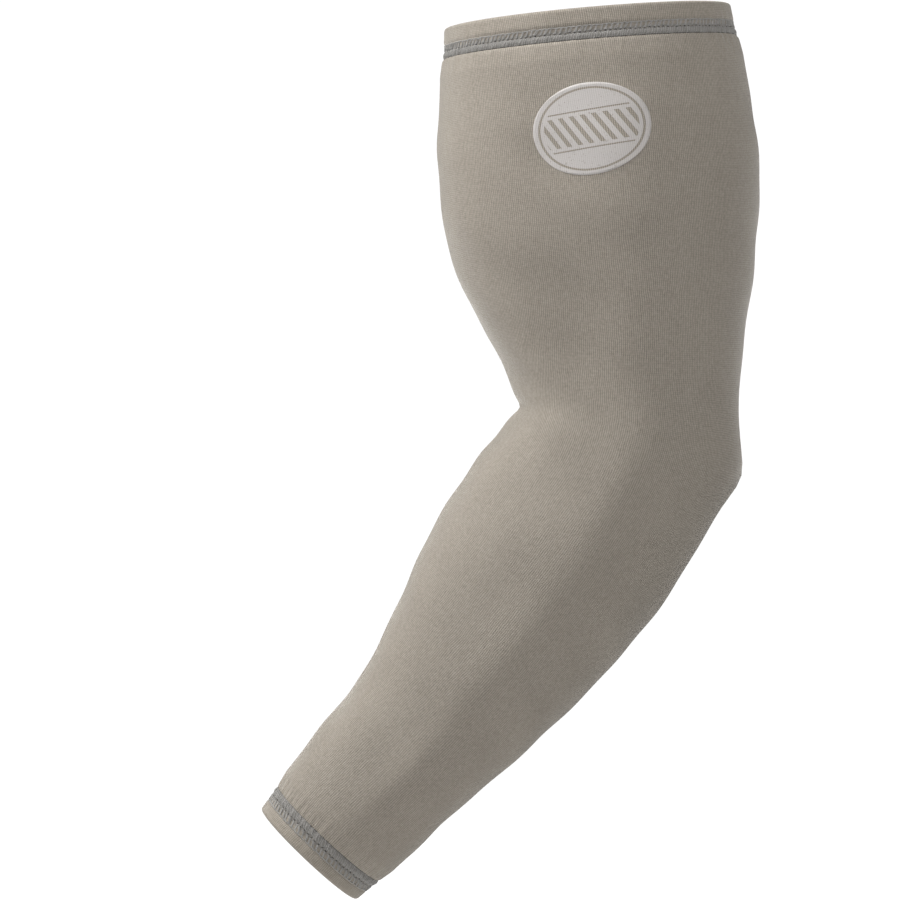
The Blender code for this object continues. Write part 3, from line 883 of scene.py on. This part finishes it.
# Heights off the cloth, in metres
BAND_HEIGHT, RIDGE_HEIGHT, HOLE_DIP = 0.00014, 0.00042, 0.00016
BEAD_HEIGHT, BEAD_SUNK = 0.00060, 0.00034
RETURN_SUNK = 0.00030               # a thread returns this far under the band's face
ROUND_STEPS = 720                   # steps in which one round of the sleeve is measured
BAND_COLUMNS, RING_POINTS = 3, 10   # in one stitch
SEAM_CLIMB = 1.7                    # the band climbs from so many half widths of a seam away
RING_GAP = 0.000005                 # points at the ring's join that are closer are joined
LOOP_SLACK = 0.20                   # how far threads stray from an even stitch, as a share of one
SLACK_WAVES = (417, 1130, 2390)     # radians in a metre along the band
SLACK_ALONG, SLACK_ACROSS, BEAD_SLACK = 0.5, 0.15, 0.1

# A stroke crosses the band on top, from low to high and lifted off it, for the share of a stitch
# that crossing says, and returns below. Its shift moves it along by a share of a stitch.
Stroke = namedtuple("Stroke", "low high crossing shift lift")
LOOPS = [Stroke(BEAD_ROW, HOLE_ROW - 0.05, 0.7, shift, 0.00016) for shift in (0.0, 0.2)]
WRAPS = [Stroke(RIDGE_START, RIDGE_END, 0.6, shift, 0.00008) for shift in (0.1, 0.6)]
LOOP_RADIUS, WRAP_RADIUS = 0.00022, 0.00018

Round = namedtuple("Round", "turns places stitches pitch")


def band_lift(share):
    flat = BAND_HEIGHT * ease(share / RIM_EASE) * ease((1 - share) / BODY_EASE)
    ridge = np.sin(np.pi * np.clip((share - RIDGE_START) / (RIDGE_END - RIDGE_START), 0, 1))
    holes = np.exp(-((share - HOLE_ROW) / HOLE_DIP_REACH) ** 2)
    return flat + RIDGE_HEIGHT * ridge ** 0.8 - HOLE_DIP * holes


def over_seams(down, angle):
    """How much higher a hem's band lies where it crosses a seam."""
    total = 0
    for angle_at in (inner_angle, outer_angle):
        centre = angle_at(down, (SEAM_BODY_BORDER + SEAM_MESH_BORDER) / 2)
        off = (angle - centre + 180) % 360 - 180
        reach = turn_for(SEAM_WIDTH / 2, down, centre)
        total = total + ease(SEAM_CLIMB - np.abs(off) / reach)
    return TAPE_HEIGHT * total


def ring(start, width, share, angle, lift):
    """Points round a band: share 0 is its rim side, at start, and 1 its body side."""
    down = start + width * share
    return surface(down, angle, lift + over_seams(down, angle) + unevenness(down, angle))


def one_round(start, width):
    """Measure the way round the sleeve under a band, and fit whole stitches into it."""
    turns = np.linspace(0, 360, ROUND_STEPS + 1)
    sides = np.linalg.norm(np.diff(surface(start + width / 2, turns), axis=0), axis=1)
    places = np.concatenate([[0], sides.cumsum()])
    stitches = round(places[-1] / HEM_STITCH)
    return Round(turns, places, stitches, places[-1] / stitches)


print("hem bands are", round(UPPER_BAND * 1000, 2), "and", round(CUFF_BAND * 1000, 2), "mm wide")


# %% Hem bands
def hem_band(side, node, start, width, way):
    size = abs(width)
    mesh_angles = [float(angle_at(np.array(start), 0.0)) for angle_at in (inner_angle, outer_angle)]
    mesh_from, mesh_to = np.interp(mesh_angles, way.turns, way.places)
    # A painted shadow line along the band's body side
    painted_shadow_line = (size * PAINTED_SHADOW_FROM[side], size * PAINTED_SHADOW_TO)
    material = ribbon_material(side + "_hem_tape", way.pitch, BAND_COLOURS, painted_shadow_line,
                               size * HOLE_ROW, size * BARE_TO, float(mesh_from), float(mesh_to))
    shares = np.linspace(0, 1, BAND_ROWS + 1)
    if width < 0:
        shares = shares[::-1]
    even = np.linspace(0, way.places[-1], way.stitches * BAND_COLUMNS + 1)
    around = np.interp(even, way.places, way.turns)
    grid = np.stack([ring(start, width, share, around, band_lift(share)) for share in shares])
    uv = np.stack(np.meshgrid(shares * size, even, indexing="ij"), axis=-1)
    band = flat_piece(side + "_hem_band", len(around) - 1, BAND_ROWS)
    wrap(band, grid, uv)
    select_only(band)
    bpy.ops.object.mode_set(mode="EDIT")
    bpy.ops.mesh.select_all(action="SELECT")
    bpy.ops.mesh.remove_doubles(threshold=RING_GAP)
    bpy.ops.object.mode_set(mode="OBJECT")
    wall(band, BAND_WALL)
    belongs(band, node, material)
    return band


def hem_threads(side, start, width, way):
    even = np.linspace(0, way.places[-1], way.stitches * RING_POINTS + 1)[:-1]
    around = np.interp(even, way.places, way.turns)
    phase = (even / way.pitch) % 1
    slow, quicker, quickest = (even * wave for wave in SLACK_WAVES)
    slack = LOOP_SLACK * (np.sin(slow) * np.sin(quicker + 1) + np.sin(quickest) / 2)

    def crossing_thread(stroke):
        t = (phase + stroke.shift + slack * SLACK_ALONG) % 1
        there = ease(t / stroke.crossing)
        back = ease((t - stroke.crossing) / (1 - stroke.crossing))
        on_top = t < stroke.crossing
        share = (stroke.low + (stroke.high - stroke.low) * np.where(on_top, there, 1 - back)
                 + slack * SLACK_ACROSS)
        height = np.where(on_top, stroke.lift, -RETURN_SUNK)
        return ring(start, width, share, around, band_lift(share) + height)

    dip = np.abs(np.sin(np.pi * phase))
    beads = ring(start, width, BEAD_ROW + slack * BEAD_SLACK, around,
                 band_lift(BEAD_ROW) + BEAD_HEIGHT * dip - BEAD_SUNK)
    loops = threads(side + "_hem_loops", [crossing_thread(stroke) for stroke in LOOPS] + [beads],
                    radius=LOOP_RADIUS, closed=True)
    belongs(loops, None, stitch_thread)
    wraps = threads(side + "_hem_wraps", [crossing_thread(stroke) for stroke in WRAPS],
                    radius=WRAP_RADIUS, closed=True)
    belongs(wraps, None, stitch_thread)
    return loops, wraps


def hem(side, node, start, width):
    """start is the band's rim side and width runs to its body side, down or up the sleeve."""
    way = one_round(start, width)
    band = hem_band(side, node, start, width, way)
    loops, wraps = hem_threads(side, start, width, way)
    print(side, "hem has", way.stitches, "stitches in", round(float(way.places[-1]), 3), "m")
    return band, loops, wraps


upper_hem = hem("upper", "upper_hem_stitch", UPPER_STRIP, UPPER_BAND)
cuff_hem = hem("cuff", "cuff_hem_stitch", SLEEVE_LENGTH - CUFF_STRIP, -CUFF_BAND)

# %% [markdown]
# ## The print on the upper arm
# A heat-transfer print is a skin of pale ink pressed into the knit, about a tenth of a millimetre
# thick, so the wales show through it. It is a plain oval here: a ring, and a band of slanted bars
# across its middle that are left open to the cloth. The outline is real, a thin sheet with an edge,
# and the open parts are in its material.

# %% Print material
PRINT_WIDTH, PRINT_HEIGHT = 0.0550, 0.0410
PRINT_DROP, PRINT_SHIFT, PRINT_TILT = 0.0545, -0.0045, 4.5
PRINT_COLUMNS, PRINT_ROWS = 48, 36
PRINT_LIFT, PRINT_WALL = 0.00016, 0.00022   # so its back lies just under the cloth's face
PRINT_BUMP = 0.00012
INK = (0.560, 0.530, 0.512, 1)
INK_SHADOW = (0.430, 0.405, 0.390, 1)
# From the oval's middle, where its edge is 1
RING_PLACE, RING_HALF = 0.885, 0.022
INSIDE_RING = 0.80
BAR_PITCH, BAR_SHARE, BAR_SLANT = 0.0052, 0.45, 0.6
BARS_HALF = 0.0066                  # half the height of the band of bars
LINE_GAP, LINE_HALF = 0.0018, 0.00032
WORN_FROM, WORN_TO = 0.60, 0.70     # where the noise makes a worn speck begin and be bare
WORN_SHARE = 0.6                    # how much cloth shows in a worn speck


def print_material():
    material, tree, shader = shader_of("transfer_ink", roughness=0.55, sheen=0.0, specular=0.35)
    x, y, space = cloth_place(tree)
    radius = calc(tree, "SQRT", calc(
        tree, "ADD",
        calc(tree, "POWER", calc(tree, "DIVIDE", x, PRINT_WIDTH / 2), 2.0),
        calc(tree, "POWER", calc(tree, "DIVIDE", y, PRINT_HEIGHT / 2), 2.0)))
    ring = calc(tree, "LESS_THAN", calc(tree, "ABSOLUTE", calc(
        tree, "SUBTRACT", radius, RING_PLACE)), RING_HALF)
    slant = calc(tree, "ADD", x, calc(tree, "MULTIPLY", y, BAR_SLANT))
    bars = calc(tree, "LESS_THAN", calc(tree, "FRACT", calc(
        tree, "DIVIDE", slant, BAR_PITCH)), BAR_SHARE)
    off_middle = calc(tree, "ABSOLUTE", y)
    in_band = calc(tree, "LESS_THAN", off_middle, BARS_HALF)
    inside = calc(tree, "LESS_THAN", radius, INSIDE_RING)
    bars = calc(tree, "MULTIPLY", calc(tree, "MULTIPLY", bars, in_band), inside)
    lines = calc(tree, "LESS_THAN", calc(tree, "ABSOLUTE", calc(
        tree, "SUBTRACT", off_middle, BARS_HALF + LINE_GAP)), LINE_HALF)
    lines = calc(tree, "MULTIPLY", lines, inside)
    open_cloth = calc(tree, "MAXIMUM", calc(tree, "MAXIMUM", ring, bars), lines)
    worn = ramp(tree, noise(tree, space, scale=1100.0, detail=4.0), WORN_FROM, WORN_TO)
    open_cloth = calc(tree, "MAXIMUM", open_cloth, calc(tree, "MULTIPLY", worn, WORN_SHARE))
    height = knit_height(tree, x, y, space)
    # Ink and open cloth are darker where the knit is low: painted shade in its grooves
    ink = mix(tree, height, INK_SHADOW, INK)
    cloth = mix(tree, height, KNIT_DARK_AND_SHADE, KNIT_LIGHT_AND_HIGHLIGHT)
    relief = calc(tree, "SUBTRACT", calc(tree, "MULTIPLY", height, 0.5), open_cloth)
    dress(tree, shader, mix(tree, open_cloth, ink, cloth), relief, PRINT_BUMP, strength=0.8)
    return material


transfer_ink = print_material()


# %% Print
def oval():
    """A square grid rounded off to an ellipse and laid on the front of the upper arm."""
    y, x = np.meshgrid(np.linspace(1, -1, PRINT_ROWS + 1), np.linspace(1, -1, PRINT_COLUMNS + 1),
                       indexing="ij")
    wide = x * np.sqrt(1 - y * y / 2) * PRINT_WIDTH / 2
    high = y * np.sqrt(1 - x * x / 2) * PRINT_HEIGHT / 2
    tilt = math.radians(PRINT_TILT)
    across = PRINT_SHIFT + wide * math.cos(tilt) - high * math.sin(tilt)
    down = PRINT_DROP - wide * math.sin(tilt) - high * math.cos(tilt)
    angle = 90 - turn_for(across, down, 90.0)
    points = surface(down, angle, PRINT_LIFT + unevenness(down, angle))
    return points, np.stack([wide, high], axis=-1)


print_points, print_uv = oval()
transfer_print = flat_piece("transfer_print", PRINT_COLUMNS, PRINT_ROWS)
wrap(transfer_print, print_points, print_uv)
wall(transfer_print, PRINT_WALL)
belongs(transfer_print, "transfer_patch", transfer_ink)

# %% [markdown]
# ## The small print at the cuff
# On the mesh, about a centimetre above the cuff's stitches, lies one short line of pale print, a
# plain row of slanted dashes. Each dash is its own little skin of ink, laid on the mesh with the
# same `surface` function, and the row is joined into one piece.

# %% Dashes
DASHES, DASH_PITCH, DASH_WIDTH, DASH_HEIGHT = 10, 0.0029, 0.0018, 0.0034
DASH_SLANT = 0.0012         # how far a dash's top leans towards the elbow side
DASH_FROM_SEAM, DASH_ABOVE_BAND = 0.0100, 0.0110
DASH_LIFT, DASH_WALL = 0.00016, 0.00012
DASH_COLUMNS, DASH_ROWS = 3, 4
DASH_INK = (0.640, 0.600, 0.580, 1)
DASH_BUMP = 0.0002
DASH_WORN_FROM, DASH_WORN_TO = 0.56, 0.80


def dash_material():
    material, tree, shader = shader_of("dash_ink", roughness=0.6, sheen=0.0, specular=0.3)
    space = add(tree, "ShaderNodeTexCoord").outputs["Object"]
    grain = noise(tree, space, scale=1200.0, detail=3.0)
    worn = ramp(tree, grain, DASH_WORN_FROM, DASH_WORN_TO)
    dress(tree, shader, mix(tree, worn, DASH_INK, MESH_MID), grain, DASH_BUMP, strength=0.8)
    return material


def dash(number):
    """One slanted dash, as a small grid on the mesh."""
    across, low = np.meshgrid(np.linspace(0, 1, DASH_COLUMNS + 1),
                              np.linspace(0, 1, DASH_ROWS + 1))
    down = SLEEVE_LENGTH - CUFF_STRIP - CUFF_BAND - DASH_ABOVE_BAND + (low - 1) * DASH_HEIGHT
    along_row = number * DASH_PITCH + across * DASH_WIDTH + (1 - low) * DASH_SLANT
    angle = inner_angle(down, -DASH_FROM_SEAM - along_row)
    points = surface(down, angle, DASH_LIFT + unevenness(down, angle))
    piece = flat_piece("dash", DASH_COLUMNS, DASH_ROWS)
    wrap(piece, points, np.stack([along_row, down], axis=-1))
    wall(piece, DASH_WALL)
    return piece


row_of_dashes = [dash(number) for number in range(DASHES)]
select_only(row_of_dashes[0])
for piece in row_of_dashes[1:]:
    piece.select_set(True)
bpy.ops.object.join()
cuff_dashes = bpy.context.object
cuff_dashes.name = cuff_dashes.data.name = "cuff_dashes"
belongs(cuff_dashes, None, dash_material())

# %% [markdown]
# ## How much cloth
# The sleeve is knitted to stretch, so its pieces are measured as they lie on the arm.

# %% Sheets
print("cloth cut:", round(body_area, 4), "and", round(mesh_area, 4), "square metres")

# %% [markdown]
# ## Camera
# The photograph was taken from the front, level with the middle of the sleeve and from a fair
# distance. Its scale at the sleeve's middle plane and the place of the sleeve's origin in it are
# measured once, and the camera's place and lens follow from them.

# %% Camera
PHOTO_SIZE = 900            # pixels each way
METRES_PER_PIXEL = 0.0004563
ORIGIN_X, ORIGIN_Y = 586.65, 16.5
CAMERA_DISTANCE = 2.5
SENSOR_WIDTH = 36           # millimetres
camera_x = (PHOTO_SIZE / 2 - ORIGIN_X) * METRES_PER_PIXEL
camera_z = (ORIGIN_Y - PHOTO_SIZE / 2) * METRES_PER_PIXEL
bpy.ops.object.camera_add(location=(camera_x, -CAMERA_DISTANCE, camera_z),
                          rotation=(math.radians(90), 0, 0))
camera = bpy.context.object
camera.data.sensor_width = SENSOR_WIDTH
camera.data.lens = SENSOR_WIDTH * CAMERA_DISTANCE / (PHOTO_SIZE * METRES_PER_PIXEL)
bpy.context.scene.camera = camera
print("lens", round(camera.data.lens, 1), "mm")

# %% [markdown]
# ## Lights
# The picture is a studio cut-out on white. A strong soft light stands high on the left, which
# leaves the elbow side in an even half-shade. Four weaker ones open up that shade and draw a fine
# bright line down both edges. Their powers were tried until the cloth's tones came close to the
# picture's. Each light is placed by its bearing from the sleeve, as on a plan of the studio,
# because that says more about the picture than three coordinates do.

# %% Lights
Light = namedtuple("Light", "name turn rise distance size power")
LIGHTS = (  # degrees to the right of the camera, degrees above the sleeve, metres, and watts
    Light("key_light", -75, 52, 2.0, 0.7, 43),
    Light("right_light", 45, 60, 2.0, 0.7, 20),
    Light("front_light", -30, -8, 2.2, 0.7, 8.5),
    Light("left_light", -92, 60, 2.0, 0.7, 10),
    Light("back_light", 170, 25, 2.4, 2.4, 13),
)
MIDDLE_OF_SLEEVE = (-0.04, 0.0, -0.19)


def soft_light(light):
    """A square soft light that faces the sleeve."""
    pan, tilt = math.radians(light.turn), math.radians(light.rise)
    away = (math.sin(pan) * math.cos(tilt), -math.cos(pan) * math.cos(tilt), math.sin(tilt))
    place = [MIDDLE_OF_SLEEVE[i] + light.distance * away[i] for i in range(3)]
    bpy.ops.object.light_add(type="AREA", location=place, rotation=(math.pi / 2 - tilt, 0, pan))
    lamp = bpy.context.object
    lamp.name = light.name
    lamp.data.size = light.size
    lamp.data.energy = light.power
    print(light.name, "stands at", [round(value, 2) for value in place])


for light in LIGHTS:
    soft_light(light)

# %% [markdown]
# ## Floor and room
# The floor lies well below the hanging sleeve, so no shadow of the sleeve shows. White paper would
# turn grey where the lights don't reach, and its far edge would draw a line across the picture.
# So it glows a little with the distance from the sleeve, until it is as white as the room behind
# it. The glow begins nearer where the camera looks at the paper than where it lights the sleeve,
# and the room is white to look at and nearly dark as a light, which keeps the shade on the cloth.

# %% Floor
FLOOR_DROP, FLOOR_RADIUS, FLOOR_SIDES = 0.62, 14.0, 64
PAPER = (0.78, 0.78, 0.78, 1)
WHITE = (1, 1, 1, 1)
ROOM_SEEN, ROOM_LIGHT = 1.05, 0.02
GLOW_FROM, GLOW_TO = 1.8, 2.6       # metres from the middle of the floor
SEEN_FROM, SEEN_TO = 0.4, 2.2       # the same, for what the camera sees

bpy.ops.object.select_all(action="DESELECT")
bpy.ops.mesh.primitive_circle_add(vertices=FLOOR_SIDES, radius=FLOOR_RADIUS, fill_type="NGON",
                                  location=(0, 0, -FLOOR_DROP))
floor = bpy.context.object
floor.name = "floor"
paper, tree, shader = shader_of("white_paper", roughness=0.9, sheen=0.0)
from_middle = add(tree, "ShaderNodeVectorMath", {
    0: add(tree, "ShaderNodeTexCoord").outputs["Object"]}, operation="LENGTH").outputs["Value"]
looked_at = add(tree, "ShaderNodeLightPath").outputs["Is Camera Ray"]
seen_glow = calc(tree, "MULTIPLY", looked_at, ramp(tree, from_middle, SEEN_FROM, SEEN_TO))
glow = calc(tree, "MAXIMUM", ramp(tree, from_middle, GLOW_FROM, GLOW_TO), seen_glow)
shader.inputs["Base Color"].default_value = PAPER
shader.inputs["Emission Color"].default_value = WHITE
tree.links.new(calc(tree, "MULTIPLY", glow, ROOM_SEEN), shader.inputs["Emission Strength"])
floor.data.materials.append(paper)
print("floor lies", FLOOR_DROP, "m below the sleeve's rim")

# %% Room
world = bpy.data.worlds.new("white_room")
bpy.context.scene.world = world
world.use_nodes = True
tree = world.node_tree
seen = tree.nodes["Background"]
seen.inputs["Color"].default_value = WHITE
seen.inputs["Strength"].default_value = ROOM_SEEN
lighting = add(tree, "ShaderNodeBackground", {"Color": WHITE, "Strength": ROOM_LIGHT})
is_camera = add(tree, "ShaderNodeLightPath").outputs["Is Camera Ray"]
room = add(tree, "ShaderNodeMixShader", {0: is_camera, 1: lighting.outputs[0],
                                         2: seen.outputs[0]})
tree.links.new(room.outputs[0], tree.nodes["World Output"].inputs["Surface"])
bpy.context.scene.view_settings.view_transform = "Standard"
print("the room is white to look at and lights with", ROOM_LIGHT)
